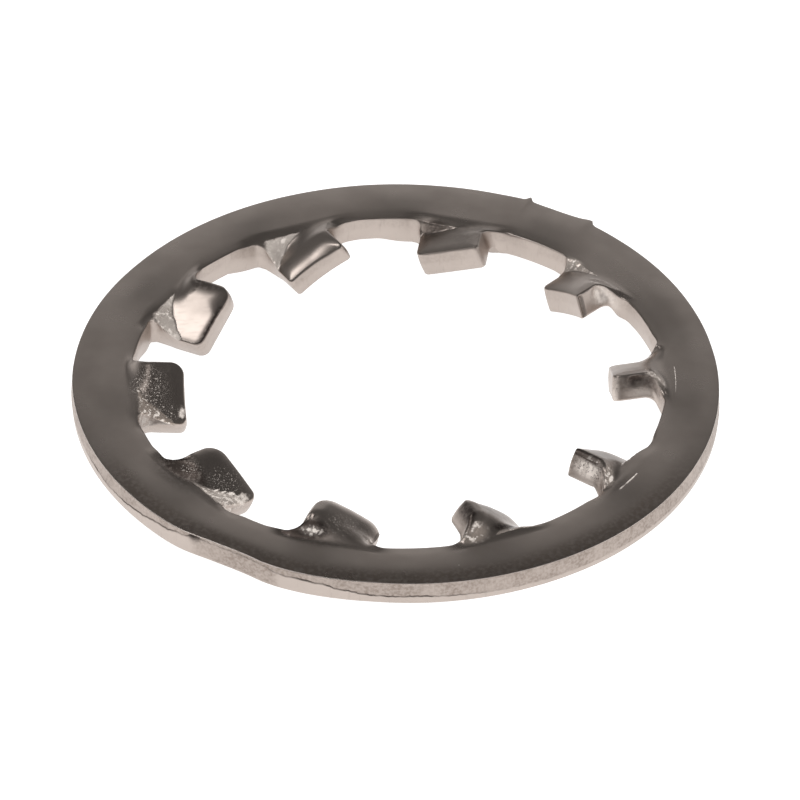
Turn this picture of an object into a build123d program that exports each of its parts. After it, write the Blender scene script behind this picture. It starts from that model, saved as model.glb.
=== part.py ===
from build123d import *
import math
import os

# An internal-tooth lock washer, blanked from stainless sheet in one stroke: a flat ring whose
# teeth point at the bolt. Each tooth is then twisted about its own length, so one of its long
# edges stands above the ring and the other below it. It is one piece of metal.
# The origin is the centre of the bolt hole, half way through the sheet. +Z is the bolt's axis.

outer_radius = 12.0
sheet_thickness = 1.0
gullet_radius = 10.0
tip_radius = 8.1

tooth_count = 10
tooth_pitch = 360 / tooth_count
first_tooth_angle = 4.5
tooth_width = 2.5
gullet_corner_radius = 0.6
# The straight teeth are drawn this far into the ring, so that they join it along its whole curve.
tooth_root_overlap = 0.1

# Degrees of twist of each tooth, anticlockwise seen from above, from the first tooth round.
# The twisting punches leave every tooth a little different.
twist_angles = [28, 23, 20, 32, 33, 31, 25, 25, 38, 34]

# The rounding of each tooth's two tip corners, in the same order.
tip_corner_radii = [0.1, 0.2, 0.25, 0.2, 0.55, 0.4, 0.5, 0.7, 0.5, 0.4]
hole_tolerance = 0.001

# The twist begins inside the ring, so the metal is raised there, and is whole well before the tip.
# Away from the raised edge the tooth shears off the ring, where the ring keeps its flat faces.
twist_start_radius = 10.4
twist_end_radius = 9.1
shear_radius = 9.7
tooth_stations = 12
# The twisted root is drawn a little thin, as the metal there is stretched.
root_thickness = 0.94 * sheet_thickness
# Teeth are drawn past the bolt hole, which then trims every tip to one cylinder.
tip_allowance = 0.3

edge_roll = 0.1
burr_side_roll = 0.05

# A blow has flattened a length of the rim. The flat stands this far from the bolt's axis, and
# the rim turns into it gently at both ends.
flat_angle = 239.5
flat_distance = 11.74
flat_end_radius = 6.0


def twist_share(radius):
    """How much of its twist a tooth has at a radius: none at the start, all of it at the end."""
    depth = (twist_start_radius - radius) / (twist_start_radius - twist_end_radius)
    depth = min(max(depth, 0.0), 1.0)
    return math.sin(depth * math.pi / 2)


def section_plane(tooth_angle, radius, twist):
    """The plane across a tooth at a radius. Its x runs along the tooth's width, to the raised edge."""
    along = Vector(1, 0, 0).rotate(Axis.Z, tooth_angle)
    across = Vector(0, -1, 0).rotate(Axis.Z, tooth_angle)
    raised = across.rotate(Axis((0, 0, 0), along), -twist)
    return Plane(origin=along * radius, x_dir=raised, z_dir=along)


def station_radii():
    """Evenly spaced radii at which a tooth is drawn, from where its twist begins to past its tip."""
    step = (twist_start_radius - tip_radius + tip_allowance) / (tooth_stations - 1)
    return [twist_start_radius - step * index for index in range(tooth_stations)]


def is_tip_corner(edge):
    """Whether an edge runs through the sheet at a tooth's tip: short, with both ends on the bolt hole."""
    on_hole = [abs(math.hypot(end.X, end.Y) - tip_radius) < hole_tolerance for end in edge.vertices()]
    return all(on_hole) and edge.length < tooth_width / 2


with BuildPart() as lock_washer:
    # The blank: a ring with its flattened rim, and straight teeth with rounded gullet corners, cut off
    # where the teeth shear.
    with BuildSketch() as blank:
        Circle(outer_radius)
        with PolarLocations(flat_distance, 1, start_angle=flat_angle):
            Rectangle(outer_radius, outer_radius, align=(Align.MIN, Align.CENTER), mode=Mode.SUBTRACT)
        fillet(blank.vertices(), radius=flat_end_radius)
        Circle(gullet_radius, mode=Mode.SUBTRACT)
        root_radius = gullet_radius + tooth_root_overlap
        with PolarLocations(root_radius, tooth_count, start_angle=first_tooth_angle):
            Rectangle(root_radius - tip_radius, tooth_width, align=(Align.MAX, Align.CENTER))
        gullet_corners = blank.vertices().filter_by(
            lambda corner: abs(math.hypot(corner.X, corner.Y) - gullet_radius) < tooth_root_overlap / 2
        )
        fillet(gullet_corners, radius=gullet_corner_radius)
        Circle(shear_radius, mode=Mode.SUBTRACT)
    extrude(amount=sheet_thickness / 2, both=True)

    # The die rounds the edge where it enters the sheet, and leaves the other edge sharper.
    fillet(lock_washer.faces().sort_by(Axis.Z)[-1].outer_wire().edges(), radius=edge_roll)
    fillet(lock_washer.faces().sort_by(Axis.Z)[0].outer_wire().edges(), radius=burr_side_roll)

    # The teeth: each one a loft of flat sections that turn about the tooth's own length.
    for index, twist in enumerate(twist_angles):
        tooth_angle = first_tooth_angle + index * tooth_pitch
        for radius in station_radii():
            share = twist_share(radius)
            thickness = root_thickness + (sheet_thickness - root_thickness) * share
            with BuildSketch(section_plane(tooth_angle, radius, twist * share)):
                Rectangle(tooth_width, thickness)
        loft()

    # The bolt hole trims the tips, and their corners are rounded.
    Cylinder(radius=tip_radius, height=4 * sheet_thickness, mode=Mode.SUBTRACT)
    for index, corner_radius in enumerate(tip_corner_radii):
        tip = Vector(tip_radius, 0, 0).rotate(Axis.Z, first_tooth_angle + index * tooth_pitch)
        corners = lock_washer.edges().filter_by(is_tip_corner).sort_by_distance(tip)[:2]
        fillet(corners, radius=corner_radius)

lock_washer.part.label = "lock_washer"
os.makedirs("parts", exist_ok=True)
export_step(lock_washer.part, "parts/lock_washer.step")
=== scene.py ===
import math
import bpy
import numpy as np
from mathutils import Matrix, Vector


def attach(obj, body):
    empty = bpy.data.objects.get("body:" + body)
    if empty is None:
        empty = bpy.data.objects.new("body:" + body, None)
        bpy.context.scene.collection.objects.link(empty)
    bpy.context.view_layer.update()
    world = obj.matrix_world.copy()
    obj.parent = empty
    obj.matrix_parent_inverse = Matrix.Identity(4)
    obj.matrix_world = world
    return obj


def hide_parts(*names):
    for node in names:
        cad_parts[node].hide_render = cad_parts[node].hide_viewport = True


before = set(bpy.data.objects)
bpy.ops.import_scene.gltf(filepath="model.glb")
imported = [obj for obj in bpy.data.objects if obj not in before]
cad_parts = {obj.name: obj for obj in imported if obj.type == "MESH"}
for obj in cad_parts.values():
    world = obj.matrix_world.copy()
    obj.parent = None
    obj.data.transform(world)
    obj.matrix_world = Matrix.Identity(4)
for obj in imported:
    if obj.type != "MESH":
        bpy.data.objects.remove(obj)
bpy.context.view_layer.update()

# The washer's skin: one closed surface, worked out flat as the blank and then bent as the teeth are.
# Everything up to the finished mesh is in millimetres.

MM = 0.001
OUTER_R = 12.0
GULLET_R = 9.92
SHEET = 1.0
TOOTH_HALF = 1.2
GULLET_CORNER_R = 0.6
# Each tooth comes from the blank's even width to its own over ROOT_BLEND, and within TOOTH_ONLY_R the
# gullets' corners no longer reach it.
ROOT_BLEND = 0.9
TOOTH_ONLY_R = GULLET_R - GULLET_CORNER_R - 0.3
TEETH = 10
PITCH = 2 * math.pi / TEETH
FIRST_TOOTH = math.radians(4.5)

# Tooth by tooth, anticlockwise from the first, as the punches left them.
TWIST = np.radians([27.5, 23.1, 19.9, 29.9, 30.3, 31.8, 25.2, 25.6, 38.3, 35.4])
HALF_WIDTH = np.array([1.15, 1.13, 1.26, 1.22, 1.32, 1.25, 1.34, 1.34, 1.27, 1.28])
TIP_R = np.array([7.94, 8.17, 8.15, 8.07, 7.86, 7.96, 7.96, 7.86, 7.99, 8.03])
RAISED_CORNER_R = np.array([0.3, 0.06, 0.2, 0.22, 0.6, 0.53, 0.64, 0.7, 0.42, 0.06])
DIPPED_CORNER_R = np.array([0.3, 0.36, 0.26, 0.15, 0.33, 0.27, 0.36, 0.69, 0.7, 0.7])
SWING = np.radians([0.8, 1.1, 0.2, -0.3, 0.2, 0.3, 1.1, 0.7, 0.5, 1.5])
YAW = np.radians([6.1, 6, 7, 7.1, 7.4, 0, -2.8, -3.5, -2.8, -1.7])
TIP_TILT = np.radians([-2.7, 0.5, 6.9, 6.9, -0.2, -4.2, -2.8, -6.9, -6.9, 2.6])
TIP_RISE = np.array([-0.07, 0.07, -0.01, -0.05, -0.12, 0.05, 0.07, 0.08, 0.05, 0.01])
# How deep and how wide the cut rolled each tooth's top edges over: at the raised side, and at the tip
# and the side that dips.
RAISED_ROLL = np.array([0.05, 0.06, 0.04, 0.1, 0.16, 0.1, 0.15, 0.16, 0.17, 0.05])
RAISED_ROLL_WIDTH = np.array([0.5, 0.5, 0.5, 0.6, 0.75, 0.6, 0.6, 0.6, 0.6, 0.4])
TOOTH_ROLL = np.array([0.08, 0.06, 0.05, 0.05, 0.03, 0.09, 0.13, 0.14, 0.1, 0.07])
TOOTH_ROLL_WIDTH = np.array([0.5, 0.5, 0.5, 0.4, 0.25, 0.5, 0.6, 0.6, 0.5, 0.5])
# One tip is rolled over much further than the rest.
TIP_ROLL = np.array([0, 0, 0, 0.17, 0, 0, 0, 0, 0, 0])
TIP_ROLL_WIDTH = 0.9

# Where each tooth's bend begins, and over what length the twist comes to its full angle.
BEND_START = np.array([10.1, 10.12, 10.12, 10.12, 10.12, 10.09, 10.12, 10.12, 9.96, 9.95])
BEND_LENGTH = np.array([1.08, 1.1, 1.0, 1.03, 0.95, 0.95, 1, 1.44, 1.06, 0.9])
# On the side that dips the ring's face ends at a tear: its radius, how far the torn metal slopes
# inward at the tooth's edge, and how far the face has parted there (0 is bent and not torn).
TEAR_R = np.array([9.85, 9.85, 9.7, 9.81, 9.84, 9.71, 9.85, 9.88, 9.88, 9.61])
TEAR_SLOPE = np.array([1.1, 0.4, 0.1, 0.95, 1.15, 1.3, 1.35, 0.9, 0.6, 0.5])
TEARS = np.array([0, 0.6, 0.9, 0.98, 0.95, 1, 0.92, 0, 0.6, 0.99])
TEAR_WIDTH = 0.03
# The tear curves inward beyond TEAR_CURVE_FROM to the side, and its line is ragged: amount, cell, seed.
TEAR_CURVE = 0.12
TEAR_CURVE_FROM = 0.3
TEAR_RAGGED = [(0.03, 0.3, 5), (0.012, 0.1, 6)]
# How far beyond the tooth's width the bend reaches: on the side that rises, and on the side that dips
# at the bottom face and at the top.
FADE_RAISED = np.array([0.3, 0.35, 0.72, 0.33, 0.61, 0.73, 1.6, 1.5, 0.3, 0.3])
FADE_DIPPED = np.array([0.86, 1.21, 1.99, 2, 2, 0.9, 2, 0.3, 1.4, 0.3])
FADE_DIPPED_TOP = np.array([0.3, 0.5, 0.4, 1.5, 1.5, 1.5, 1.5, 0.4, 0.7, 1.5])
FADE_RING = 0.9
# A tooth swings, tilts and rises freely from here inward, coming to it over FREE_LENGTH.
FREE_R = 10.2
FREE_LENGTH = 1.0
FREE_FADE = 1.2
# The raised and the dipping side blend over this far each way from a tooth's axis, and torn metal is
# this far ahead in its turn.
SIDE_BLEND = 0.3
TORN_AHEAD = 0.3
# From ON_RING_R the ring takes over from the tooth, over a length of its own.
ON_RING_R, ON_RING_BLEND = 9.9, 0.3
# 1 where a tip was cut straight across, 0 where it follows the bolt hole.
TIP_FLAT = np.array([0.8, -0.3, 0.98, -0.3, 0.96, 0.57, 1.23, 1.56, 1.14, 1.42])

# How the other top edges roll over, and the small corner at the end of each roll: depth and width.
RIM_ROLL, RIM_CORNER = (0.085, 1.15), (0.02, 0.03)
GULLET_ROLL, GULLET_CORNER = (0.045, 0.7), (0.03, 0.05)
TOOTH_CORNER = (0.04, 0.06)
BOTTOM_CORNER = (0.02, 0.04)
PUNCH_DEPTH = 0.004

# How many steps the grid has each way.
ACROSS_TOOTH = 44
TO_TEAR_ROWS = 5
TEAR_ROWS = 10
ALONG_TOOTH = 22
ACROSS_GULLET = 22
WALL_ROWS = 10


def smooth(t):
    """3t² − 2t³ of t held between 0 and 1."""
    t = np.clip(t, 0, 1)
    return t * t * (3 - 2 * t)


def between(value, start, rise, end, fall):
    """1 between start and end and 0 outside, with a smooth rise after the start and a smooth fall
    before the end, each over its own length."""
    return smooth((value - start) / rise) * smooth((end - value) / fall)


def value_noise(x, y, z, cell, seed):
    """Smooth noise from −1 to 1: seeded random values on a cubic lattice of the given cell size,
    blended between the eight lattice points round each place with the weight 3t² − 2t³."""
    size = 64
    lattice = np.random.default_rng(seed).uniform(-1, 1, (size, size, size))
    q = np.stack(np.broadcast_arrays(x, y, z), -1) / cell + 1000
    i = np.floor(q).astype(int)
    t = q - i
    t = t * t * (3 - 2 * t)
    total = 0
    for dx in (0, 1):
        for dy in (0, 1):
            for dz in (0, 1):
                to_point = np.abs(1 - np.array((dx, dy, dz)) - t)
                share = to_point[..., 0] * to_point[..., 1] * to_point[..., 2]
                near = (i + (dx, dy, dz)) % size
                total = total + share * lattice[near[..., 0], near[..., 1], near[..., 2]]
    return total


def eased(count, pull):
    """count + 1 places from 0 to 1, drawn towards both ends: a blend of even steps and of
    (1 − cos πu) / 2, with pull as the share of the second."""
    u = np.linspace(0, 1, count + 1)
    return (1 - pull) * u + pull * (1 - np.cos(np.pi * u)) / 2


# ---- the flat blank ----------------------------------------------------------------------------

CORNER_CENTRE_R = GULLET_R - GULLET_CORNER_R
CORNER_ACROSS = TOOTH_HALF + GULLET_CORNER_R
CORNER_ALONG = math.sqrt(CORNER_CENTRE_R ** 2 - CORNER_ACROSS ** 2)
ROOT_ANGLE = math.asin(CORNER_ACROSS / CORNER_CENTRE_R)


def tooth_half_width(r, half_width, tip_r, tip_corner_r):
    """How far a tooth of the blank reaches to one side of its axis at radius r. Near the ring the side
    follows the circle that rounds the gullet's corner, which a circle of radius r meets at
    ROOT_ANGLE − acos((r² + c² − g²) / 2rc), with c the rounding's centre radius and g its own radius.
    From there it blends to the tooth's own half_width, and at the tip it shrinks by the rounding's
    sagitta."""
    cosine = (r ** 2 + CORNER_CENTRE_R ** 2 - GULLET_CORNER_R ** 2) / (2 * r * CORNER_CENTRE_R)
    flare = r * np.sin(ROOT_ANGLE - np.arccos(np.clip(cosine, -1, 1)))
    at_root = r * np.cos(ROOT_ANGLE) > CORNER_ALONG - 0.1
    root_width = np.where(at_root, np.maximum(flare, TOOTH_HALF), TOOTH_HALF)
    width = root_width + (half_width - TOOTH_HALF) * smooth((GULLET_R - r) / ROOT_BLEND)
    left = np.clip((r - tip_r) / tip_corner_r, 0, 1)
    return width - tip_corner_r * (1 - np.sqrt(1 - (1 - left) ** 2))


def nearest_tooth(x, y):
    """The number of the tooth whose axis is nearest in angle, and the place relative to it: along its
    axis, and across it, positive towards its raised edge, which is the clockwise one from above."""
    angle = np.arctan2(y, x)
    number = np.round((angle - FIRST_TOOTH) / PITCH).astype(int)
    off = angle - FIRST_TOOTH - number * PITCH
    r = np.hypot(x, y)
    return number % TEETH, r * np.cos(off), -r * np.sin(off)


def edge_distance(x, y):
    """Distances from a place on the blank to the rim and to the nearest inner cut edge. The second is
    the least of the distances to the gullet circle, to the tooth's sides and tip, and to the circles
    that round its corners."""
    k, along, across = nearest_tooth(x, y)
    r = np.hypot(x, y)
    side = np.abs(across)
    half_width = TOOTH_HALF + (HALF_WIDTH[k] - TOOTH_HALF) * smooth((GULLET_R - r) / ROOT_BLEND)
    to_corner_circle = np.hypot(along - CORNER_ALONG, side - CORNER_ACROSS) - GULLET_CORNER_R
    by_gullet = np.arctan2(side, along) > ROOT_ANGLE
    to_side, to_tip = half_width - side, r - TIP_R[k]
    root = np.where(by_gullet, r - GULLET_R, np.where(along > CORNER_ALONG, to_corner_circle, to_side))
    rounding = np.where(across > 0, RAISED_CORNER_R[k], DIPPED_CORNER_R[k])
    in_corner = (to_side < rounding) & (to_tip < rounding)
    corner = rounding - np.hypot(rounding - to_side, rounding - to_tip)
    tip = np.where(in_corner, corner, np.minimum(to_side, to_tip))
    inner = np.where(r < TOOTH_ONLY_R, tip, root)
    return np.clip(OUTER_R - r, 0, None), np.clip(inner, 0, None)


def tear_start(k, side):
    """The radius of the tear at a distance to the side of a tooth's axis: TEAR_R, a little more
    towards the tooth's edge as TEAR_CURVE (side − TEAR_CURVE_FROM)², and ragged by the sum of
    amount · noise over TEAR_RAGGED."""
    ragged = sum(
        amount * value_noise(side, 0 * side, 7.0 * k, cell, seed) for amount, cell, seed in TEAR_RAGGED
    )
    return TEAR_R[k] + TEAR_CURVE * np.clip(side - TEAR_CURVE_FROM, 0, 2) ** 2 + ragged


def tear_width(k, side):
    """How far the torn metal slopes inward: TEAR_WIDTH, and TEAR_SLOPE (side / half width)^1.2 more."""
    return TEAR_WIDTH + TEAR_SLOPE[k] * np.clip(side / TOOTH_HALF, 0, 1) ** 1.2


def tear_share(x, y):
    """How far a place lies through the torn metal: 0 at its top, 1 at its foot, and even between. The
    ring is below 0 and the tooth beyond 1."""
    k, along, across = nearest_tooth(x, y)
    side = np.abs(across)
    return (tear_start(k, side) - np.hypot(x, y)) / tear_width(k, side)


def bend(x, y, h, level, torn):
    """Carries the flat blank to the bent washer. A place at (along, across, h) of a tooth is turned
    about the tooth's axis by its twist times 3d² − 2d³, with d growing from 0 where the bend starts
    to 1 over its length. Where the metal tore, the turn grows with the torn share instead: at the top
    face (level 1) on the side that dips, at the bottom face (level 0) on the side that rises. Beyond
    the tooth's width the turn fades out. Then the tooth swings, yaws, tilts and rises by its own
    small amounts."""
    k, along, across = nearest_tooth(x, y)
    r = np.hypot(x, y)
    side = np.abs(across)
    turn = TWIST[k] * smooth((BEND_START[k] - along) / BEND_LENGTH[k])
    full = TWIST[k] * smooth((BEND_START[k] + TORN_AHEAD - along) / BEND_LENGTH[k])
    rising = smooth((across + SIDE_BLEND) / (2 * SIDE_BLEND))
    parted = 1 - TEARS[k] * (level * (1 - rising) + (1 - level) * rising)
    turn = parted * turn + (1 - parted) * torn * full
    fade_dipped = FADE_DIPPED[k] + (FADE_DIPPED_TOP[k] - FADE_DIPPED[k]) * level
    fade = np.where(across > 0, FADE_RAISED[k], fade_dipped)
    on_ring = smooth((r - ON_RING_R) / ON_RING_BLEND)
    fade = fade + (np.maximum(fade, FADE_RING) - fade) * on_ring * smooth((across + 0.5) / 0.5)
    tooth_only = 1 - smooth((side - TOOTH_HALF) / fade)
    turn = turn * tooth_only
    new_across = across * np.cos(turn) - h * np.sin(turn)
    new_up = across * np.sin(turn) + h * np.cos(turn)

    free = smooth((FREE_R - along) / FREE_LENGTH) * (1 - smooth((side - TOOTH_HALF) / FREE_FADE))
    inward = along - TIP_R[k]
    new_across = new_across + free * (-TIP_R[k] * SWING[k] - np.tan(YAW[k]) * inward)
    new_up = new_up + free * (TIP_RISE[k] - np.tan(TIP_TILT[k]) * inward)

    along = along + free * TIP_FLAT[k] * across ** 2 / (2 * TIP_R[k])

    axis = FIRST_TOOTH + k * PITCH
    return (
        along * np.cos(axis) + new_across * np.sin(axis),
        along * np.sin(axis) - new_across * np.cos(axis),
        new_up,
    )


# How far the rim stands off its circle, at angles in degrees round it: a slow wander, and the hollow
# of a blow at the front left.
RIM_ANGLES = [
    0, 12, 24, 36, 46, 53, 56, 60, 64.5, 67, 72, 84, 96, 108, 132, 144, 156, 168, 180, 192, 204, 216,
    226, 229, 232, 234, 237, 240, 243, 246, 249, 254, 266, 276, 288, 300, 312, 324, 336, 348,
]
RIM_OFFSETS = [
    -0.08, -0.095, -0.05, 0.02, 0.07, 0.12, 0.2, 0.13, 0.15, 0.23, 0.17, 0.12, 0.1, 0.06, 0.035, 0.03,
    0.07, 0.09, 0.115, 0.08, 0.045, 0.01, -0.01, -0.05, -0.14, -0.205, -0.25, -0.265, -0.22, -0.11,
    -0.06, -0.04, -0.065, -0.015, 0.01, 0.025, 0.04, 0.02, -0.015, -0.045,
]
# The offset grows from nothing at RIM_SHIFT_FROM to all of it RIM_SHIFT_LENGTH further out.
RIM_SHIFT_FROM, RIM_SHIFT_LENGTH = 10.9, 1.1
# Two small sharp burrs at the back right: angle, half widths clockwise and anticlockwise, height.
RIM_BURRS = [(66.7, 0.5, 0.5, 0.21), (54.1, 0.5, 1.6, 0.19)]


def degrees_from(degrees, middle):
    """How far an angle lies anticlockwise of the middle, between −180 and 180 degrees."""
    return (degrees - middle + 180) % 360 - 180


def rim_shift(angle):
    """How far the rim stands off its circle: straight lines between RIM_OFFSETS at RIM_ANGLES, averaged
    over two degrees so that they join smoothly, and each burr as height · exp(−u²), with u the angle
    from its middle in half widths of that side."""
    degrees = np.degrees(angle)[..., None] + np.linspace(-1.0, 1.0, 9)
    shift = np.interp(degrees, RIM_ANGLES, RIM_OFFSETS, period=360).mean(-1)
    for middle, clockwise, anticlockwise, height in RIM_BURRS:
        off = degrees_from(np.degrees(angle), middle)
        shift = shift + height * np.exp(-(off / np.where(off < 0, clockwise, anticlockwise)) ** 2)
    return shift


# Marks that the punch's shoulder pressed into the ring behind two teeth: radius, the angles between
# which each runs, and its strength.
PUNCH_MARKS = [(10.345, 322.1, 329.3, 1.45), (10.305, -2.7, 6.0, 0.95)]
PUNCH_MARK_WIDTH = 0.02


def punch_marks(x, y):
    """How strong the marks are: their strength · exp(−((r − r₀) / PUNCH_MARK_WIDTH)²) across the arcs,
    fading over a degree at both ends."""
    r = np.hypot(x, y)
    total = 0
    for mark_r, start, end, strength in PUNCH_MARKS:
        degrees = (np.degrees(np.arctan2(y, x)) - start + 90) % 360 - 90
        along = smooth(degrees + 0.5) * smooth(end - start + 0.5 - degrees)
        total = total + strength * np.exp(-((r - mark_r) / PUNCH_MARK_WIDTH) ** 2) * along
    return total


def rolled(distance, depth, width):
    """depth · (1 − d / width)² at the distance d from an edge, and 0 beyond the width."""
    return depth * np.clip(1 - distance / width, 0, 1) ** 2


def corner(distance, depth, width):
    """A quarter ellipse: depth · (1 − √(1 − (1 − u)²)), with u the distance in widths."""
    return depth * (1 - np.sqrt(1 - np.clip(1 - distance / width, 0, 1) ** 2))


def top_roll(rim, inner, x, y):
    """How far the top face falls towards its cut edges: at the rim, the gullets and the teeth a roll
    and a corner each. A tooth's roll blends from TOOTH_ROLL to RAISED_ROLL towards its raised side,
    and TIP_ROLL comes on top at its tip. The punch marks are pressed in."""
    k, along, across = nearest_tooth(x, y)
    r = np.hypot(x, y)
    at_rim = rolled(rim, *RIM_ROLL) + corner(rim, *RIM_CORNER)
    at_gullet = rolled(inner, *GULLET_ROLL) + corner(inner, *GULLET_CORNER)
    raised = smooth((across + 0.1) / 0.8)
    depth = TOOTH_ROLL[k] + (RAISED_ROLL[k] - TOOTH_ROLL[k]) * raised
    width = TOOTH_ROLL_WIDTH[k] + (RAISED_ROLL_WIDTH[k] - TOOTH_ROLL_WIDTH[k]) * raised
    at_tooth = rolled(inner, depth, width) + corner(inner, *TOOTH_CORNER)
    at_tooth = at_tooth + rolled(r - TIP_R[k], TIP_ROLL[k], TIP_ROLL_WIDTH)
    on_tooth = smooth((ON_RING_R - r) / 0.5)
    return at_rim + at_gullet * (1 - on_tooth) + at_tooth * on_tooth + PUNCH_DEPTH * punch_marks(x, y)


def bottom_roll(rim, inner):
    """The bottom face's fall at its cut edges: a corner at each."""
    return corner(rim, *BOTTOM_CORNER) + corner(inner, *BOTTOM_CORNER)


# ---- the grid ----------------------------------------------------------------------------------

tooth_steps = 1 - 2 * eased(ACROSS_TOOTH, 0.62)
tooth_columns = -np.arcsin(math.sin(ROOT_ANGLE) * tooth_steps)
gullet_columns = ROOT_ANGLE + (PITCH - 2 * ROOT_ANGLE) * np.linspace(0, 1, ACROSS_GULLET + 1)[1:-1]
sector_columns = np.concatenate([tooth_columns, gullet_columns])
column_angle = (FIRST_TOOTH + np.arange(TEETH)[:, None] * PITCH + sector_columns[None, :]).ravel()
columns_per_sector = len(sector_columns)

ring_rows = np.concatenate([
    GULLET_R + np.array([0, 0.008, 0.03, 0.065, 0.11, 0.17, 0.25]),
    [10.25, 10.28, 10.305, 10.33, 10.36],
    np.linspace(10.45, 11.45, 7),
    [11.6, 11.72, 11.8, 11.87, 11.92, 11.96, 11.985, 11.997, OUTER_R],
])
ring_x = ring_rows[:, None] * np.cos(column_angle)
ring_y = ring_rows[:, None] * np.sin(column_angle)

# A tooth's rows run from the gullet circle to the start of its tear, through the torn metal, and on
# to its tip, drawn closer together at the tip.
teeth = np.arange(TEETH)[:, None, None]
nominal_side = np.abs(TOOTH_HALF * tooth_steps)[None, None, :] + 0.0 * teeth
tear_top = np.minimum(tear_start(teeth + 0 * nominal_side.astype(int), nominal_side), GULLET_R - 0.03)
tear_foot = tear_top - tear_width(teeth, nominal_side)
to_tear = np.linspace(0, 1, TO_TEAR_ROWS + 1)[1:, None]
in_tear = np.linspace(0, 1, TEAR_ROWS + 1)[1:, None]
even = np.linspace(0, 1, ALONG_TOOTH + 1)
to_tip = (0.3 * even + 0.7 * np.sin(even * math.pi / 2))[1:, None]
tooth_r = np.concatenate([
    GULLET_R + to_tear * (tear_top - GULLET_R),
    tear_top + in_tear * (tear_foot - tear_top),
    tear_foot + to_tip * (TIP_R[:, None, None] - tear_foot),
], axis=1)
corner_r = np.where(tooth_steps > 0, RAISED_CORNER_R[:, None], DIPPED_CORNER_R[:, None])[:, None, :]
half_width = tooth_half_width(tooth_r, HALF_WIDTH[:, None, None], TIP_R[:, None, None], corner_r)
tooth_off = -np.arcsin(half_width * tooth_steps / tooth_r)
tooth_angle = FIRST_TOOTH + teeth * PITCH + tooth_off
tooth_x = tooth_r * np.cos(tooth_angle)
tooth_y = tooth_r * np.sin(tooth_angle)

face_x = np.concatenate([ring_x.ravel(), tooth_x.ravel()])
face_y = np.concatenate([ring_y.ravel(), tooth_y.ravel()])
face_count = len(face_x)
ring_id = np.arange(ring_x.size).reshape(ring_x.shape)
tooth_id = ring_x.size + np.arange(tooth_x.size).reshape(tooth_x.shape)
root_columns = np.arange(TEETH)[:, None] * columns_per_sector + np.arange(ACROSS_TOOTH + 1)[None, :]
tooth_id = np.concatenate([ring_id[0][root_columns][:, None, :], tooth_id], axis=1)


def quads(a, b, c, d):
    """One four-sided face from each set of matching entries of four arrays of point numbers."""
    return np.stack([a.ravel(), b.ravel(), c.ravel(), d.ravel()], -1)


def closed_band(ids):
    """The faces between the rows of a band of point numbers whose last column meets its first."""
    following = np.roll(ids, -1, axis=1)
    return quads(ids[:-1], ids[1:], following[1:], following[:-1])


ring_quads = closed_band(ring_id)
tooth_quads = quads(
    tooth_id[:, :-1, :-1], tooth_id[:, :-1, 1:], tooth_id[:, 1:, 1:], tooth_id[:, 1:, :-1]
)
face_quads = np.concatenate([ring_quads, tooth_quads])

# The inner cut edge, one closed line: down each tooth's raised side, over its tip, up its dipping
# side and along the gullet to the next.
gullet_ids = ring_id[0].reshape(TEETH, columns_per_sector)[:, ACROSS_TOOTH + 1:]
inner_line = np.concatenate(
    [tooth_id[:, :, 0], tooth_id[:, -1, 1:], tooth_id[:, -2::-1, -1], gullet_ids], axis=1
).ravel()
rim_line = ring_id[-1]

to_rim, to_inner = edge_distance(face_x, face_y)
to_inner[inner_line] = 0
to_rim[rim_line] = 0
face_r = np.hypot(face_x, face_y)
top_h = SHEET / 2 - top_roll(to_rim, to_inner, face_x, face_y)
bottom_h = -SHEET / 2 + bottom_roll(to_rim, to_inner)
face_torn = np.clip(tear_share(face_x, face_y), 0, 1)

# The rim's own unevenness moves the metal near it, and dies away towards the middle of the ring.
near_rim = smooth((face_r - RIM_SHIFT_FROM) / RIM_SHIFT_LENGTH)
shifted_r = face_r + rim_shift(np.arctan2(face_y, face_x)) * near_rim
face_x, face_y = face_x * shifted_r / face_r, face_y * shifted_r / face_r


def outward(line, side):
    """The blank's level direction out of the metal along a closed line of face points: the line's
    tangent, taken between neighbours, turned a quarter turn to the given side."""
    tx = np.roll(face_x[line], -1) - np.roll(face_x[line], 1)
    ty = np.roll(face_y[line], -1) - np.roll(face_y[line], 1)
    length = np.hypot(tx, ty)
    return -side * ty / length, side * tx / length


def wall(line, side, rows, stand_off):
    """The points of a cut edge between the faces: at share s of the way down from the top face's edge
    to the bottom face's, standing off the blank's outline by stand_off(x, y, s). The rows of s may
    differ from column to column."""
    s = rows[1:-1]
    x, y = face_x[line][None, :], face_y[line][None, :]
    out_x, out_y = outward(line, side)
    off = stand_off(x, y, s)
    h = top_h[line][None, :] * (1 - s) + bottom_h[line][None, :] * s
    return x + off * out_x, y + off * out_y, h + 0 * off


# The rim was sheared for the lower part of its depth and broke away above. Where the two meet, as a
# share of the way down, at angles in degrees round the rim. At the blow the line runs out at the top.
BREAK_ANGLES = [
    0, 60, 120, 180, 198, 201.7, 204.9, 207.7, 211, 214, 216.7, 219.2, 221.3, 224.3, 225.6, 227.4, 229.2,
    230.5, 232, 246, 248, 249.7, 251.3, 253.4, 255.2, 256.8, 258.3, 259.7, 261.7, 263.4, 265.6, 270.9,
    273.3, 276.7, 279.1, 282.1, 286.1, 300, 330,
]
BREAK_SHARES = [
    0.72, 0.66, 0.7, 0.62, 0.6, 0.61, 0.62, 0.69, 0.64, 0.63, 0.54, 0.5, 0.4, 0.33, 0.35, 0.2, 0.22,
    0.12, 0.1, 0.12, 0.24, 0.32, 0.29, 0.27, 0.33, 0.32, 0.38, 0.5, 0.5, 0.58, 0.66, 0.66,
    0.63, 0.66, 0.68, 0.69, 0.74, 0.78, 0.76,
]
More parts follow.
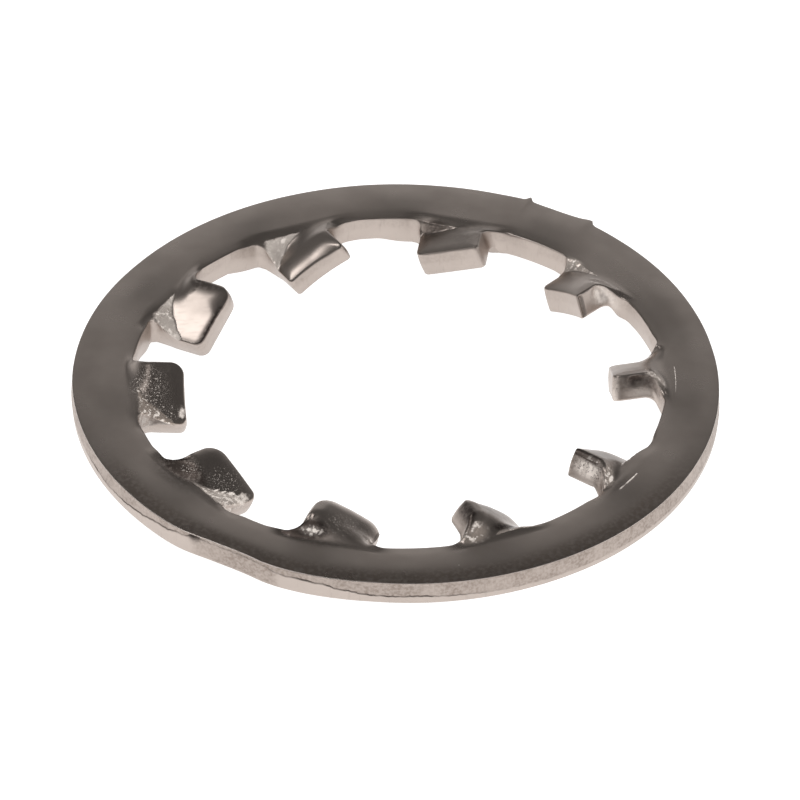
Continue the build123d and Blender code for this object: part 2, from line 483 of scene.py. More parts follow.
# The two lengths where the break line has opened to a crack, in degrees: the start, over what length
# the crack opens, the end and over what length it closes. And where the blow scuffed the rim.
CRACKS = [(197, 6, 232, 1.5), (248.5, 1.5, 292, 14)]
CRACK_DEPTH, CRACK_WIDTH = 0.03, 0.02
SCUFF = (230.5, 2, 249.5, 2)
# The chip at the end of the first crack: its angle, half width, place down the rim and height.
CHIP_ANGLE, CHIP_HALF_WIDTH, CHIP_SHARE, CHIP_HEIGHT = 231.5, 0.9, 0.1, 0.13
CHIP_DEPTH = 0.12
BULGE = 0.03
BROKEN_IN = 0.02


def degrees_round(x, y):
    """The angle of a place round the washer, in degrees from 0 to 360."""
    return np.degrees(np.arctan2(y, x)) % 360


def break_share(x, y):
    """How far down the rim the break line lies, by straight lines between the list's values, with a
    quick waver of 0.02."""
    degrees = degrees_round(x, y)
    waver = 0.02 * np.sin(degrees * 4.1 + 1.5 * np.sin(degrees * 1.7))
    return np.interp(degrees, BREAK_ANGLES, BREAK_SHARES, period=360) + waver


def crack_strength(x, y):
    """How open the crack along the break line is: up to 1 in the lengths where it shows, 0 elsewhere."""
    degrees = degrees_round(x, y)
    shown = sum(between(degrees, *crack) for crack in CRACKS)
    return shown * (0.6 + 0.4 * value_noise(x, y, 0, 0.3, 13))


def rim_stand_off(x, y, s):
    """The rim's profile: a bulge of BULGE sin πs, with the broken part BROKEN_IN inside the sheared part
    below it, slow unevenness of 0.012, the crack as a groove along the break line, and the chip, each
    of the two as depth · exp(−u²)."""
    below = s - break_share(x, y)
    broken = smooth(-below / 0.05 + 0.5)
    groove = CRACK_DEPTH * crack_strength(x, y) * np.exp(-(below / CRACK_WIDTH) ** 2)
    off_chip = (degrees_round(x, y) - CHIP_ANGLE) / CHIP_HALF_WIDTH
    chip = CHIP_DEPTH * np.exp(-off_chip ** 2 - ((s - CHIP_SHARE) / CHIP_HEIGHT) ** 2)
    uneven = 0.012 * value_noise(x, y, s, 0.35, 11) * (0.4 + 0.6 * broken)
    return BULGE * np.sin(np.pi * s) - BROKEN_IN * broken + uneven - groove - chip


# How far across a tooth its raised flank begins and ends.
RAISED_SIDE = (0.85, 0.25, 1.7, 0.3)
# Hollows in the teeth's raised flanks: tooth number, place along it, share of the way down, half
# lengths that way, depth.
FLANK_HOLLOWS = [
    (0, 8.70, 0.22, 0.26, 0.20, 0.10),
    (1, 9.15, 0.35, 0.30, 0.35, 0.09),
    (1, 8.24, 0.50, 0.09, 2.00, 0.06),
    (9, 9.40, 0.60, 0.06, 0.50, 0.06),
]


def soft_patches(listed, k, along, other):
    """The strongest of the listed soft patches: strength · exp(−u⁴) on its own tooth, with u the
    distance from the patch's middle in its own half lengths, along the tooth and the other way."""
    total = 0 * along * other
    for tooth, along_at, other_at, half_along, half_other, strength in listed:
        u = np.hypot((along - along_at) / half_along, (other - other_at) / half_other)
        total = np.maximum(total, np.where(k == tooth, strength * np.exp(-u ** 4), 0))
    return total


def flank_patches(listed, k, along, across, s):
    """Soft patches of the raised flanks, placed along the tooth and by the share s of the way down."""
    return soft_patches(listed, k, along, s) * between(across, *RAISED_SIDE)


def inner_stand_off(x, y, s):
    """The inner edge's profile: BULGE sin πs with slow unevenness of 0.01, less the hollows."""
    k, along, across = nearest_tooth(x, y)
    hollow = flank_patches(FLANK_HOLLOWS, k, along, across, s)
    return BULGE * np.sin(np.pi * s) + 0.01 * value_noise(x, y, s, 0.5, 12) - hollow


# The rim's rows are drawn together on the break line; the inner edge's are even.
rows_to_break = np.array([0, 0.05, 0.2, 0.4, 0.6, 0.8, 0.91, 0.955, 0.98])
rows_from_break = np.array([0, 0.04, 0.09, 0.2, 0.45, 0.7, 0.9, 1.0])
rim_break = break_share(face_x[rim_line], face_y[rim_line])[None, :]
rim_rows = np.concatenate([
    rim_break * rows_to_break[:, None],
    rim_break + (1 - rim_break) * rows_from_break[:, None],
])
inner_rows = eased(WALL_ROWS, 0.5)[:, None] + 0 * face_x[inner_line][None, :]
rim_wall = wall(rim_line, -1, rim_rows, rim_stand_off)
inner_wall = wall(inner_line, 1, inner_rows, inner_stand_off)



def skin(*parts):
    """One number for each point of the skin: the top face's, the bottom face's, the rim's and the inner
    edge's."""
    return np.concatenate([part.ravel() for part in parts])


def wall_ids(line, first, between):
    """The point numbers of a cut edge, row by row down from the top face's edge to the bottom face's.
    Those between the two count up from first."""
    own = first + np.arange(between.size).reshape(between.shape)
    return np.concatenate([line[None, :], own, face_count + line[None, :]])


flat_x = skin(face_x, face_x, rim_wall[0], inner_wall[0])
flat_y = skin(face_y, face_y, rim_wall[1], inner_wall[1])
flat_h = skin(top_h, bottom_h, rim_wall[2], inner_wall[2])
level = skin(np.ones(face_count), np.zeros(face_count), 1 - rim_rows[1:-1], 1 - inner_rows[1:-1])
rim_torn, inner_torn = face_torn[rim_line], face_torn[inner_line]
torn = skin(face_torn, face_torn, rim_torn + 0 * rim_wall[0], inner_torn + 0 * inner_wall[0])
rim_first = 2 * face_count
inner_first = rim_first + rim_wall[0].size
rim_ids = wall_ids(rim_line, rim_first, rim_wall[0])
inner_ids = wall_ids(inner_line, inner_first, inner_wall[0])
# The inner line runs the other way round, so its faces are turned over.
inner_quads = closed_band(inner_ids)[:, [0, 3, 2, 1]]
bottom_quads = face_count + face_quads[:, ::-1]
all_quads = np.concatenate([face_quads, bottom_quads, closed_band(rim_ids), inner_quads])

bent_x, bent_y, bent_z = bend(flat_x, flat_y, flat_h, level, torn)
points = np.stack([bent_x, bent_y, bent_z], -1) * MM


def add_object(name, data):
    """A new object in the scene, with its mesh, light or camera."""
    made = bpy.data.objects.new(name, data)
    bpy.context.scene.collection.objects.link(made)
    return made


def make_mesh(name, points, quads):
    """A mesh object from an array of places and an array of four-sided faces, shaded smooth."""
    mesh = bpy.data.meshes.new(name)
    mesh.vertices.add(len(points))
    mesh.vertices.foreach_set("co", points.astype(np.float32).ravel())
    mesh.loops.add(quads.size)
    mesh.loops.foreach_set("vertex_index", quads.astype(np.int32).ravel())
    mesh.polygons.add(len(quads))
    mesh.polygons.foreach_set("loop_start", np.arange(0, quads.size, 4, dtype=np.int32))
    mesh.polygons.foreach_set("loop_total", np.full(len(quads), 4, dtype=np.int32))
    mesh.polygons.foreach_set("use_smooth", np.ones(len(quads), dtype=bool))
    mesh.update(calc_edges=True)
    mesh.validate()
    return add_object(name, mesh)


washer = make_mesh("lock_washer_steel", points, all_quads)
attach(washer, "root")
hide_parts("lock_washer")

# ---- where the metal is torn, speckled and broken, and where light and shade are painted -------

place_k, place_along, place_across = nearest_tooth(flat_x, flat_y)
place_degrees = degrees_round(flat_x, flat_y)
place_r = np.hypot(flat_x, flat_y)
on_face = level == 1.0
rim_part = slice(rim_first, inner_first)
inner_part = slice(inner_first, len(flat_x))

# Soft patches of the faces: tooth number, place along and across it, the patch's half lengths that way,
# strength. First the rough ones, then those painted bright as glints and highlights on partly worn metal,
# those painted dark as shade over reflections and partly stain, and the speckled ones, whose specks are
# partly painted glints.
TORN_PATCHES = [
    (7, 9.72, 0.85, 0.18, 0.42, 1.0), (7, 9.10, -1.15, 0.25, 0.14, 0.9),
    (8, 9.72, 0.95, 0.3, 0.5, 1.0),
    (9, 9.6, 1.05, 0.3, 0.3, 1.0), (9, 8.75, 1.42, 0.55, 0.16, 1.0),
    (0, 9.5, 1.0, 0.35, 0.35, 0.8),
    (1, 9.75, -1.2, 0.16, 0.4, 1.0),
]
# Painted highlights: glints and bright crumbs on partly worn metal.
GLINT_AND_WEAR_PATCHES = [
    (3, 9.66, -0.62, 0.1, 0.17, 0.7),
    (5, 8.08, -0.80, 0.17, 0.34, 0.5),
    (6, 8.62, -1.12, 0.5, 0.26, 0.55), (6, 9.35, -0.48, 0.16, 0.07, 0.8),
    (6, 9.10, -0.65, 0.16, 0.07, 0.8), (6, 8.85, -0.82, 0.16, 0.07, 0.8),
    (7, 9.72, 0.92, 0.16, 0.3, 0.42), (7, 11.8, 0.23, 0.05, 0.07, 0.6),
    (8, 9.45, 0.95, 0.14, 0.25, 0.5),
    (9, 9.72, 0.95, 0.11, 0.2, 0.75),
]
# Painted shade over reflections, partly stain.
SHADE_AND_STAIN_FACES = [
    (0, 8.6, 0.6, 0.9, 0.5, 0.3),
    (2, 9.2, 0.8, 0.9, 0.8, 0.4), (2, 9.68, -0.85, 0.24, 0.5, 0.9),
    (4, 7.84, -0.3, 0.2, 1.1, 0.95), (4, 8.9, 1.15, 0.8, 0.25, 0.7),
    (5, 9.38, 0.65, 0.3, 0.75, 0.75), (5, 8.8, 0.2, 0.7, 0.9, 0.2),
    (6, 9.64, 0.95, 0.42, 1.15, 1.5), (6, 8.9, 0.2, 0.9, 0.9, 0.25), (6, 10.15, 0.9, 0.4, 1.3, 0.4),
    (7, 9.7, 1.2, 0.4, 0.95, 1.8), (7, 10.05, 0.7, 0.3, 1.2, 0.4), (7, 9.0, -0.7, 0.7, 0.55, 0.45),
    (8, 8.95, 1.26, 0.85, 0.22, 1.0), (8, 9.62, -0.45, 0.3, 0.6, 0.75),
    (8, 9.6, -0.35, 0.25, 0.6, 1.2), (8, 8.6, 0.0, 0.75, 1.0, 0.6),
    (9, 10.12, 0.8, 0.14, 0.6, 0.35), (9, 8.9, 0.3, 0.9, 1.0, 0.5), (9, 8.5, 1.24, 0.6, 0.13, 1.8),
]
# Speckled metal, its specks partly painted as glints.
SPECKLE_AND_GLINT_PATCHES = [
    (4, 9.4, -0.9, 0.4, 0.35, 0.5),
    (5, 9.25, 0.1, 0.85, 1.1, 1.0), (5, 8.7, -0.8, 0.8, 0.4, 1.0),
    (6, 9.5, 0.7, 0.4, 0.45, 0.95), (6, 8.8, -0.3, 0.8, 0.8, 0.8),
    (7, 9.1, 0.0, 0.8, 0.9, 0.7), (7, 8.6, -0.6, 0.5, 0.5, 0.6),
    (8, 9.6, 0.4, 0.5, 0.5, 0.4),
]
# The same for the raised flanks and tips, but with the share of the way down in place of across: the
# places painted light as reflections on the flanks, and those painted dark as shade in hollows and
# grooves, partly stain.
# Flank places painted light, standing for reflections.
PAINTED_LIGHT_FLANKS = [
    (0, 7.95, 0.5, 0.14, 2.0, 0.35), (0, 8.9, 0.78, 0.6, 0.22, 0.4),
    (1, 9.2, 0.4, 0.42, 0.5, 0.75),
    (9, 8.65, 0.32, 0.55, 0.42, 0.8), (9, 8.8, 0.95, 0.6, 0.15, 0.3),
]
# Painted shade in hollows and grooves of the flanks, partly stain.
SHADE_AND_STAIN_FLANKS = [
    (0, 8.68, 0.15, 0.4, 0.28, 1.0), (0, 9.3, 0.3, 0.28, 0.3, 0.8),
    (1, 8.24, 0.5, 0.07, 2.0, 0.6),
    (8, 8.75, 0.0, 0.75, 0.3, 1.0),
    (9, 8.85, 0.05, 0.7, 0.06, 0.9), (9, 9.40, 0.6, 0.05, 0.5, 0.9),
]
# Walls under the dipping sides that are torn as well, in a wedge: tooth number, where along the tooth it
# starts, its depth at the root as a share of the sheet, how torn it is and how much darker it is painted.
TORN_WALLS = [(5, 8.45, 0.62, 0.8, 0.9), (6, 8.30, 0.60, 1.0, 0.0)]
WEDGE_ROOT = 9.5
# Tooth by tooth: how rough its step is, how light its torn metal, how broken its raised flank, which is
# roughest at the right front, and how much darker its end is painted, within END_R.
STEP_ROUGH = np.array([0, 0.6, 0.1, 0.75, 0.95, 1, 0.92, 0, 0.9, 0.99])
TORN_LIGHT = np.array([0.3, 0.6, 0.1, 1.1, 1.0, 0.05, 0.7, 0.2, 0.15, 0.25])
FLANK_BROKEN = np.array([0.8, 0.1, 0.1, 0.1, 0.1, 0.1, 0.2, 0.2, 0.6, 1.0])
END_DARKENING = np.array([0, 0.095, 0.095, 0.095, 0.095, 0, 0, 0, 0, 0])
GULLET_BROKEN = 0.3
# How far up a raised flank and a gullet's wall the broken metal begins, and over what share.
FLANK_BREAK, GULLET_BREAK = (0.3, 0.15), (0.45, 0.2)
END_R = 8.45
# The sheet sinks a little beside each root and mirrors a darker part of the room there. That is painted
# into the ring's colour as painted shade, with painted light between. Round the washer in degrees: where
# each painted dark place lies, its half width and its strength.
PAINTED_DARK_PLACES = [
    (354, 9, 0.26), (22, 13, 0.26), (59, 6, 0.25), (90, 6, 0.23), (121, 6, 0.27), (151, 7, 0.30),
    (190, 7, 0.20), (221, 7, 0.27), (254, 7, 0.30), (289, 7, 0.34), (322, 7, 0.36),
]
# How much lighter the ring's face is painted between the dark places.
PAINTED_LIGHT_BETWEEN = 0.10
# How far from the corner between the top face and the rim it frays, with flecks painted bright there as
# an edge highlight, how wide the dark band is that runs beside it at the front, and where that begins and
# ends in degrees.
FRAY_AND_HIGHLIGHT_WIDTH = 0.09
BAND_WIDTH, BAND_FADE = 0.95, 0.6
BAND_ENDS = (200, 15, 345, 25)


def face_patches(listed):
    """Soft patches of the faces, placed along and across the tooth."""
    return soft_patches(listed, place_k, place_along, place_across)


def wedge(k, start, depth):
    """1 above a line down a tooth's dipping wall and 0 below it. The line falls evenly, from the top edge
    at its start to its full depth at the root."""
    line = depth * np.clip((place_along - start) / (WEDGE_ROOT - start), 0, 1)
    here = (place_k == k) & (place_across < -0.6) & (level < 1) & (place_along < GULLET_R + 0.1)
    return np.where(here, smooth((line - (1 - level)) / 0.08), 0)


def rough_step():
    """How rough the torn step is: STEP_ROUGH from the top of the tear to a little past its foot, on the
    top face of the side that dips."""
    through = tear_share(flat_x, flat_y)
    past_foot = (through - 1) * tear_width(place_k, np.abs(place_across))
    step = smooth((through - 0.01) / 0.05) * smooth(1.5 - past_foot / 0.05) * (place_across < 0.05)
    return step * on_face * smooth((1.45 + place_across) / 0.15) * STEP_ROUGH[place_k]


def painted_ring_shading():
    """How much lighter or darker the ring's face is painted, as painted shade and painted light:
    PAINTED_LIGHT_BETWEEN less the sum of strength · exp(−u²), with u the angle from each painted dark
    place in its own half widths. It fades towards rim and teeth."""
    total = np.full(len(flat_x), PAINTED_LIGHT_BETWEEN)
    for middle, half_width, strength in PAINTED_DARK_PLACES:
        total -= strength * np.exp(-(degrees_from(place_degrees, middle) / half_width) ** 2)
    return total * smooth((11.6 - place_r) / 0.7) * smooth((place_r - ON_RING_R) / 0.4) * on_face


torn_mask = np.maximum(rough_step(), face_patches(TORN_PATCHES) * (level > 0.5))
torn_light = torn_mask * TORN_LIGHT[place_k]
# The speckled places also carry glints painted into the colour.
speckle_and_glint_mask = face_patches(SPECKLE_AND_GLINT_PATCHES) * on_face
# Painted highlights on partly worn places: glints, bright crumbs, and a bright line along the punch
# marks.
glint_and_wear_mask = np.maximum(face_patches(GLINT_AND_WEAR_PATCHES), punch_marks(flat_x, flat_y) * 0.62) * on_face

inner_place = [values[inner_part] for values in (place_k, place_along, place_across, 1 - level)]
painted_light_flank_mask = np.zeros(len(flat_x))
painted_light_flank_mask[inner_part] = flank_patches(PAINTED_LIGHT_FLANKS, *inner_place)
shade_and_stain_mask = face_patches(SHADE_AND_STAIN_FACES) * on_face
shade_and_stain_mask[inner_part] = flank_patches(SHADE_AND_STAIN_FLANKS, *inner_place)
# Next to the root a torn wall is painted less dark.
off_root = 0.45 + 0.55 * smooth((9.3 - place_along) / 0.2)
for k, start, depth, torn_wall, wall_darkening in TORN_WALLS:
    torn_mask = np.maximum(torn_mask, torn_wall * wedge(k, start, depth))
    shade_and_stain_mask = np.maximum(shade_and_stain_mask, wall_darkening * off_root * wedge(k, start, depth))
on_end = smooth((END_R - place_along) / 0.1) * (level < 1)
shade_and_stain_mask = np.maximum(shade_and_stain_mask, END_DARKENING[place_k] * on_end)

# The rim is broken above the break line and cracked along it, and the chip is painted dark as shade in
# its hollow. The blow scuffed it.
rim_degrees = place_degrees[rim_part]
rim_below = 1 - level[rim_part] - break_share(flat_x[rim_part], flat_y[rim_part])
crack_and_chip_shade_mask = np.zeros(len(flat_x))
open_crack = crack_strength(flat_x[rim_part], flat_y[rim_part]) * np.exp(-(rim_below / CRACK_WIDTH) ** 2)
painted_chip_shade = 0.9 * np.exp(-((rim_degrees - CHIP_ANGLE) / 1.1) ** 4 - ((level[rim_part] - 0.9) / 0.13) ** 2)
crack_and_chip_shade_mask[rim_part] = np.maximum(open_crack, painted_chip_shade)
on_flank = smooth((place_across - 0.8) / 0.3) * smooth((9.7 - place_along) / 0.4)
flank_top, gullet_top = [
    smooth((level - start) / share) for start, share in (FLANK_BREAK, GULLET_BREAK)
]
broken_mask = np.maximum(
    FLANK_BROKEN[place_k] * on_flank * flank_top, GULLET_BROKEN * (1 - on_flank) * gullet_top
)
broken_mask[:rim_first] = 0
broken_mask[rim_part] = np.maximum(smooth(0.5 - rim_below / 0.06), between(rim_degrees, *SCUFF))

to_rim_all = np.concatenate([to_rim, to_rim, np.zeros(len(flat_x) - rim_first)])
fray_and_edge_highlight_mask = np.where(on_face, np.clip(1 - to_rim_all / FRAY_AND_HIGHLIGHT_WIDTH, 0, 1), 0)
fray_and_edge_highlight_mask[rim_part] = np.clip(1 - (1 - level[rim_part]) / 0.1, 0, 1)
at_front = between(place_degrees, *BAND_ENDS)
band_mask = np.where(on_face, smooth((BAND_WIDTH - to_rim_all) / BAND_FADE) * at_front, 0)

# One number of each kind for each point of the mesh, kept with it for the materials.
for name, values in [
    ("torn", torn_mask),
    ("speckle_and_glint", speckle_and_glint_mask),
    ("glint_and_wear", glint_and_wear_mask),
    ("torn_light", torn_light),
    ("painted_flank_light", painted_light_flank_mask),
    ("shade_and_stain", shade_and_stain_mask),
    ("fray_and_edge_highlight", fray_and_edge_highlight_mask),
    ("rim_band", band_mask),
    ("crack", crack_and_chip_shade_mask),
    ("broken", broken_mask),
    ("painted_shading", painted_ring_shading()),
]:
    kept = washer.data.attributes.new(name, "FLOAT", "POINT")
    kept.data.foreach_set("value", values.astype(np.float32))

# ---- finishes ----------------------------------------------------------------------------------


class Graph:
    """A few short ways to lay nodes in a material's, a group's or the studio's node tree."""

    def __init__(self, tree):
        self.tree = tree

    def put(self, socket, value):
        """Sets an input: a number or a tuple directly, or a link from another node's output."""
        if isinstance(value, (int, float, tuple)):
            socket.default_value = value
        else:
            self.tree.links.new(value, socket)

    def node(self, kind, settings=None, **inputs):
        """A node of a kind, with its own settings and its inputs by name."""
        made = self.tree.nodes.new("ShaderNode" + kind)
        for name, value in (settings or {}).items():
            setattr(made, name, value)
        for name, value in inputs.items():
            self.put(made.inputs[name.replace("_", " ")], value)
        return made

    def math(self, operation, *values):
        """A Math node, its values in order. More than two are taken pair by pair from the left."""
        while len(values) > 2:
            values = (self.math(operation, *values[:2]), *values[2:])
        made = self.node("Math", {"operation": operation})
        for socket, value in zip(made.inputs, values):
            self.put(socket, value)
        return made.outputs[0]

    def times(self, *values):
        """The product of values."""
        return self.math("MULTIPLY", *values)

    def plus(self, *values):
        """The sum of values."""
        return self.math("ADD", *values)

    def less(self, first, second):
        """The first value less the second."""
        return self.math("SUBTRACT", first, second)

    def most(self, *values):
        """The largest of values."""
        return self.math("MAXIMUM", *values)

    def vector(self, operation, first, second):
        """A Vector Math node on two vectors."""
        made = self.node("VectorMath", {"operation": operation})
        self.put(made.inputs[0], first)
        self.put(made.inputs[1], second)
        return made.outputs[0]

    def ramp(self, value, low, high, to_low=0.0, to_high=1.0):
        """A value carried smoothly from between low and high to between to_low and to_high."""
        made = self.node(
            "MapRange", {"interpolation_type": "SMOOTHSTEP"},
            Value=value, From_Min=low, From_Max=high, To_Min=to_low, To_Max=to_high,
        )
        return made.outputs["Result"]

    def blend(self, share, first, second, kind="MIX"):
        """A colour between two, each a tuple or another node's colour."""
        made = self.node("Mix", {"data_type": "RGBA", "blend_type": kind})
        for number, value in zip((0, 6, 7), (share, first, second)):
            self.put(made.inputs[number], value)
        return made.outputs[2]

    def attribute(self, name):
        """The number that the mesh keeps under a name."""
        return self.node("Attribute", {"attribute_name": name}).outputs["Fac"]

    def effect(self, group, **inputs):
        """A shared effect, placed with its own values."""
        return self.node("Group", {"node_tree": group}, **inputs).outputs[0]


def new_effect(name, output, **inputs):
    """An empty node group with one output and its inputs by name: a start value each, or None for a
    vector."""
    group = bpy.data.node_groups.new(name, "ShaderNodeTree")
    for title, start in inputs.items():
        kind = "NodeSocketVector" if start is None else "NodeSocketFloat"
        socket = group.interface.new_socket(title, in_out="INPUT", socket_type=kind)
        if start is not None:
            socket.default_value = start
    group.interface.new_socket(output, in_out="OUTPUT", socket_type="NodeSocketFloat")
    given = group.nodes.new("NodeGroupInput").outputs
    return group, Graph(group), given, group.nodes.new("NodeGroupOutput").inputs[0]


def make_scratches():
    """Fine straight marks: noise drawn out along one direction and cut off near its peaks."""
    group, graph, given, out = new_effect(
        "fine_scratches", "Mask", Place=None, Direction=0.0, Length=0.001, Width=0.00003, Amount=0.3
    )
    turned = graph.node(
        "VectorRotate", {"rotation_type": "Z_AXIS"}, Vector=given["Place"], Angle=given["Direction"]
    )
    split = graph.node("SeparateXYZ", Vector=turned.outputs[0]).outputs
    drawn = graph.node(
        "CombineXYZ",
        X=graph.math("DIVIDE", split["X"], given["Length"]),
        Y=graph.math("DIVIDE", split["Y"], given["Width"]),
        Z=graph.math("DIVIDE", split["Z"], given["Width"]),
    )
    noise = graph.node("TexNoise", Vector=drawn.outputs[0], Scale=0.5, Detail=1.0).outputs["Fac"]
    low = graph.less(0.86, graph.times(given["Amount"], 0.4))
    cut = graph.math("DIVIDE", graph.less(noise, low), 0.08)
    graph.put(out, graph.math("MINIMUM", graph.most(cut, 0.0), 1.0))
    return group


def make_grain():
    """Even roughness of one cell size, from 0 to 1."""
    group, graph, given, out = new_effect("metal_grain", "Value", Place=None, Cell=0.00005, Octaves=2.0)
    frequency = graph.math("DIVIDE", 1.0, given["Cell"])
    noise = graph.node("TexNoise", Vector=given["Place"], Scale=frequency, Detail=given["Octaves"])
    graph.put(out, noise.outputs["Fac"])
    return group


def make_specks():
    """Scattered round specks: the cells of a Voronoi pattern of which a share holds one, of a size."""
    group, graph, given, out = new_effect(
        "scattered_specks", "Mask", Place=None, Cell=0.0005, Size=0.1, Share=0.1
    )
    frequency = graph.math("DIVIDE", 1.0, given["Cell"])
    cells = graph.node("TexVoronoi", Vector=given["Place"], Scale=frequency).outputs
    chosen = graph.node("SeparateColor", Color=cells["Color"])
    held = graph.math("LESS_THAN", chosen.outputs["Red"], given["Share"])
    near = graph.less(1.0, graph.math("DIVIDE", cells["Distance"], given["Size"]))
    near = graph.math("MINIMUM", graph.times(graph.most(near, 0.0), 3.0), 1.0)
    graph.put(out, graph.times(held, near))
    return group


def make_facets():
    """Torn, pitted metal: the height over small random cells, with finer noise over it, from 0 to 1."""
    group, graph, given, out = new_effect("torn_facets", "Height", Place=None, Cell=0.0001)
    frequency = graph.math("DIVIDE", 1.0, given["Cell"])
    noise = graph.node(
        "TexNoise", Vector=given["Place"], Scale=graph.times(frequency, 0.6), Detail=1.0
    ).outputs
    wander = graph.node("VectorMath", {"operation": "SCALE"}, Scale=graph.times(given["Cell"], 1.2))
    graph.put(wander.inputs[0], noise["Color"])
    moved = graph.vector("ADD", given["Place"], wander.outputs[0])
    cells = graph.node("TexVoronoi", Vector=moved, Scale=frequency)
    graph.put(out, graph.plus(cells.outputs["Distance"], graph.times(noise["Fac"], 0.7)))
    return group


scratches = make_scratches()
grain = make_grain()
specks = make_specks()
facets = make_facets()

STEEL = (0.42, 0.362, 0.325, 1)
DARK_STEEL = (0.30, 0.25, 0.22, 1)
BRIGHT_STEEL = (0.62, 0.56, 0.52, 1)
EDGE_STEEL = (0.48, 0.415, 0.375, 1)
BROWN_STEEL = (0.27, 0.22, 0.19, 1)
TORN_STEEL = (0.33, 0.27, 0.23, 1)
PALE_STEEL = (0.80, 0.73, 0.67, 1)
DARK_STAIN_AND_SHADE = (0.10, 0.08, 0.07, 1)
PIT = (0.05, 0.035, 0.03, 1)


def new_material(name, kept):
    """A metal material: its graph, its shader, the place in the washer's own coordinates, and the
    kept numbers of the mesh."""
    material = bpy.data.materials.new(name)
    material.use_nodes = True
    graph = Graph(material.node_tree)
    shader = material.node_tree.nodes["Principled BSDF"].inputs
    place = graph.node("TexCoord").outputs["Object"]
    return material, graph, shader, place, [graph.attribute(title) for title in kept]


def bumped(graph, parts):
    """Bump nodes one after another, from (height, depth in metres) pairs, ending in a normal."""
    normal = None
    for height, depth in parts:
        bump = graph.node("Bump", Height=height, Distance=depth, Strength=1.0)
        if normal is not None:
            graph.put(bump.inputs["Normal"], normal)
        normal = bump.outputs["Normal"]
    return normal


# The rolled faces: faint marks along the rolling direction, a few short scratches and pits, and glints
# painted in as bright specks. Torn metal looks pale, and the specks on the teeth are painted pale as
# glints.
sheet, graph, shader, place, numbers = new_material(
    "rolled_steel_face", ["torn", "speckle_and_glint", "glint_and_wear", "torn_light", "fray_and_edge_highlight", "rim_band", "shade_and_stain", "painted_shading"]
)
torn_here, speckle_and_glint_here, glint_and_wear, light_tear, fray_and_edge_highlight, band, shade_and_stain, painted_shading = numbers
patchy, fine, mottled, dusty = [
    graph.effect(grain, Place=place, Cell=cell, Octaves=octaves)
    for cell, octaves in [(0.0016, 3.0), (0.00006, 2.0), (0.00016, 3.0), (0.00005, 2.0)]
]
rolled_marks, short, crossing = [
    graph.effect(scratches, Place=place, Direction=turn, Length=length, Width=width, Amount=amount)
    for turn, length, width, amount in [
        (0.05, 0.0025, 0.00004, 0.75),
        (-0.5, 0.0006, 0.00003, 0.27),
        (0.9, 0.0005, 0.00003, 0.25),
    ]
]
pits = graph.effect(specks, Place=place, Cell=0.0018, Size=0.05, Share=0.10)
glints = graph.effect(specks, Place=place, Cell=0.0011, Size=0.05, Share=0.12)
coarse_height = graph.effect(facets, Place=place, Cell=0.00016)
fine_height = graph.effect(facets, Place=place, Cell=0.00009)
# What is painted pale: specks as painted glints, crumbs of torn metal, painted glints and highlights on
# worn places, and light tears.
# Specks on the teeth, painted pale as glints.
glint_speck_zone = graph.ramp(graph.plus(speckle_and_glint_here, graph.times(mottled, 0.8)), 0.75, 1.3)
painted_glint_specks = graph.times(graph.ramp(dusty, 0.58, 0.70), glint_speck_zone)
torn_specks = graph.times(graph.ramp(mottled, 0.52, 0.61), torn_here)
glint_and_wear_here = graph.ramp(graph.plus(glint_and_wear, graph.times(mottled, 0.7)), 0.62, 0.95)
light_here = graph.times(light_tear, graph.ramp(patchy, 0.3, 0.7, 0.55, 0.95))
pale_and_glints = graph.most(graph.times(painted_glint_specks, 0.75), torn_specks, glint_and_wear_here, light_here)
# Flecks along the rim's top edge, painted bright as an edge highlight.
fray_and_edge_highlight_share = graph.ramp(graph.plus(fray_and_edge_highlight, graph.times(mottled, 1.6)), 1.4, 1.6, 0.0, 0.7)
# From the plain steel up, each share with the colour that it brings in.
colour = STEEL
for share, brought in [
    (graph.ramp(patchy, 0.35, 0.7, 0.0, 0.3), DARK_STEEL),
    (graph.times(band, graph.ramp(mottled, 0.3, 0.6, 0.2, 0.9)), BROWN_STEEL),
    (graph.times(graph.plus(short, crossing), 0.1), BRIGHT_STEEL),
    # Painted glints, and flecks painted bright as the rim's edge highlight.
    (graph.most(glints, fray_and_edge_highlight_share), BRIGHT_STEEL),
    (torn_here, TORN_STEEL),
    # Painted shade over reflections, in hollows and grooves, partly stain.
    (graph.times(shade_and_stain, graph.ramp(mottled, 0.3, 0.6, 0.5, 1.0)), DARK_STAIN_AND_SHADE),
    (graph.times(pale_and_glints, 0.85), PALE_STEEL),
    (pits, PIT),
]:
    colour = graph.blend(share, colour, brought)
# The ring's face is painted darker beside the roots and lighter between, as painted shade and light.
graph.put(shader["Base Color"], graph.blend(1.0, colour, graph.plus(1.0, painted_shading), "MULTIPLY"))
dull = graph.most(graph.times(torn_here, 0.35), graph.times(pale_and_glints, 0.8))
graph.put(shader["Metallic"], graph.less(1.0, dull))
rough = graph.plus(graph.ramp(patchy, 0.3, 0.7, 0.27, 0.33), graph.times(rolled_marks, 0.02))
graph.put(shader["Roughness"], graph.plus(rough, graph.times(shade_and_stain, 0.1)))
graph.put(shader["Normal"], bumped(graph, [
    (fine, 0.0000006),
    (rolled_marks, 0.0000001),
    (graph.times(fine_height, speckle_and_glint_here), 0.000006),
    (graph.times(coarse_height, torn_here), 0.00003),
]))

